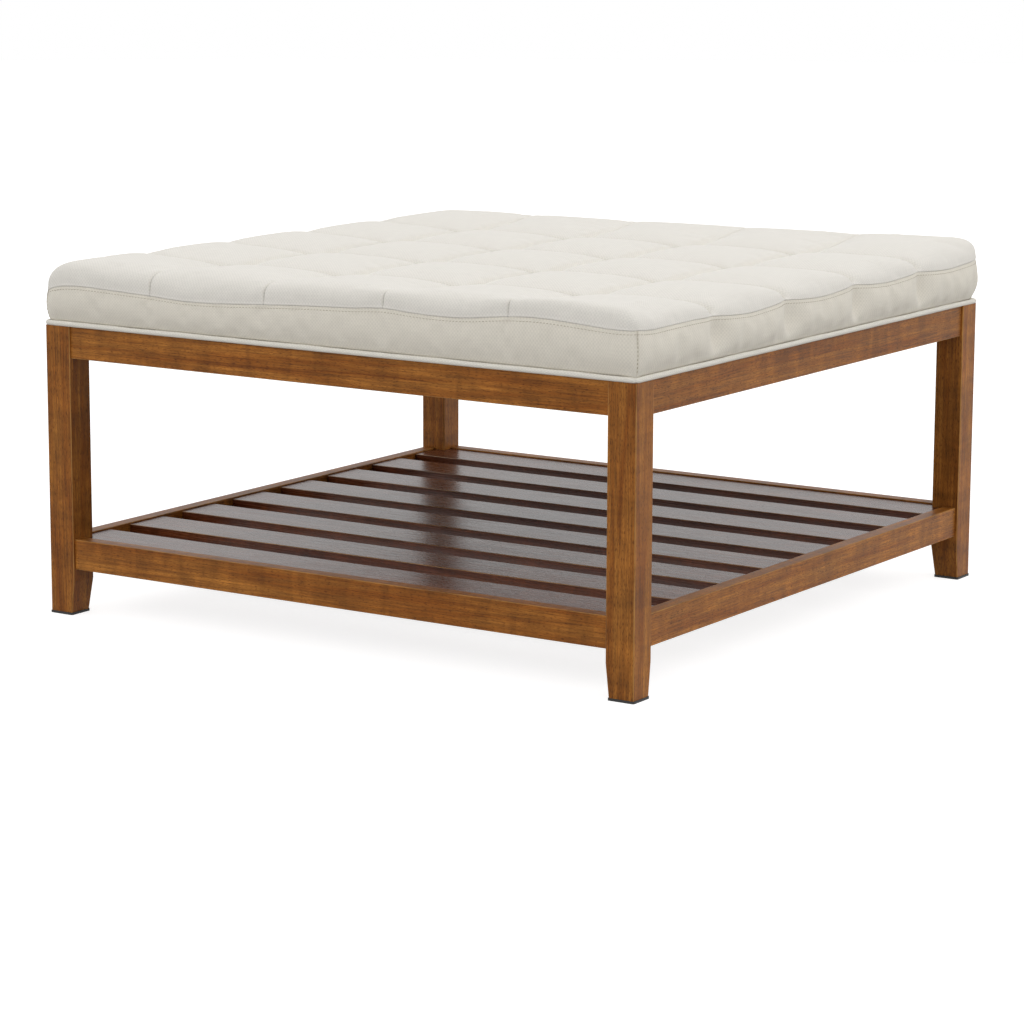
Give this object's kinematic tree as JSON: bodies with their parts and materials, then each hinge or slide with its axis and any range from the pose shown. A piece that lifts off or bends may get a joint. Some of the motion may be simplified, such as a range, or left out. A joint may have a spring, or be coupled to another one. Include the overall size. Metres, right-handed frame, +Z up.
{
  "type": "ottoman coffee table",
  "caption": "Square ottoman coffee table: a tufted linen cushion on a stained wooden frame with square legs, aprons and a slatted lower shelf.",
  "frame": {"origin": "middle of the footprint, on the floor under the foot pads", "axes": "+X to the right along the front, +Y from the front to the back, +Z up"},
  "size_m": [0.8716, 0.8716, 0.4429],
  "materials": {
    "stained_wood": "satin",
    "block_wood": "matte",
    "plywood": "matte",
    "foot_plastic": "matte",
    "black_steel": "satin",
    "zinc_steel": "satin",
    "screw_steel": "satin",
    "linen_fabric": "woven",
    "welt_fabric": "woven",
    "dust_cloth": "matte",
    "foam": "matte",
    "twine": "matte"
  },
  "bodies": {
    "root": {"leg_front_left": "stained_wood", "leg_front_right": "stained_wood", "leg_back_left": "stained_wood", "leg_back_right": "stained_wood", "apron_front": "stained_wood", "apron_back": "stained_wood", "apron_left": "stained_wood", "apron_right": "stained_wood", "shelf_rail_front": "stained_wood", "shelf_rail_back": "stained_wood", "shelf_rail_left": "stained_wood", "shelf_rail_right": "stained_wood", "slat_1": "stained_wood", "slat_2": "stained_wood", "slat_3": "stained_wood", "slat_4": "stained_wood", "slat_5": "stained_wood", "slat_6": "stained_wood", "slat_7": "stained_wood", "slat_8": "stained_wood", "slat_cleat_left": "stained_wood", "slat_cleat_right": "stained_wood", "corner_block_upper_front_left": "block_wood", "corner_block_upper_front_right": "block_wood", "corner_block_upper_back_left": "block_wood", "corner_block_upper_back_right": "block_wood", "corner_block_lower_front_left": "block_wood", "corner_block_lower_front_right": "block_wood", "corner_block_lower_back_left": "block_wood", "corner_block_lower_back_right": "block_wood", "seat_board": "plywood", "foot_pad_front_left": "foot_plastic", "foot_pad_front_right": "foot_plastic", "foot_pad_back_left": "foot_plastic", "foot_pad_back_right": "foot_plastic", "leg_bolts": "black_steel", "spring_washers": "black_steel", "flat_washers": "black_steel", "threaded_inserts": "zinc_steel", "block_screws": "screw_steel", "cleat_screws": "screw_steel", "slat_screws": "screw_steel", "deck_screws": "screw_steel", "top_panel": "linen_fabric", "side_band_front": "linen_fabric", "side_band_back": "linen_fabric", "side_band_left": "linen_fabric", "side_band_right": "linen_fabric", "welt": "welt_fabric", "dust_cover": "dust_cloth", "foam_pad": "foam", "tuft_ties": "twine"}
  },
  "joints": []
}
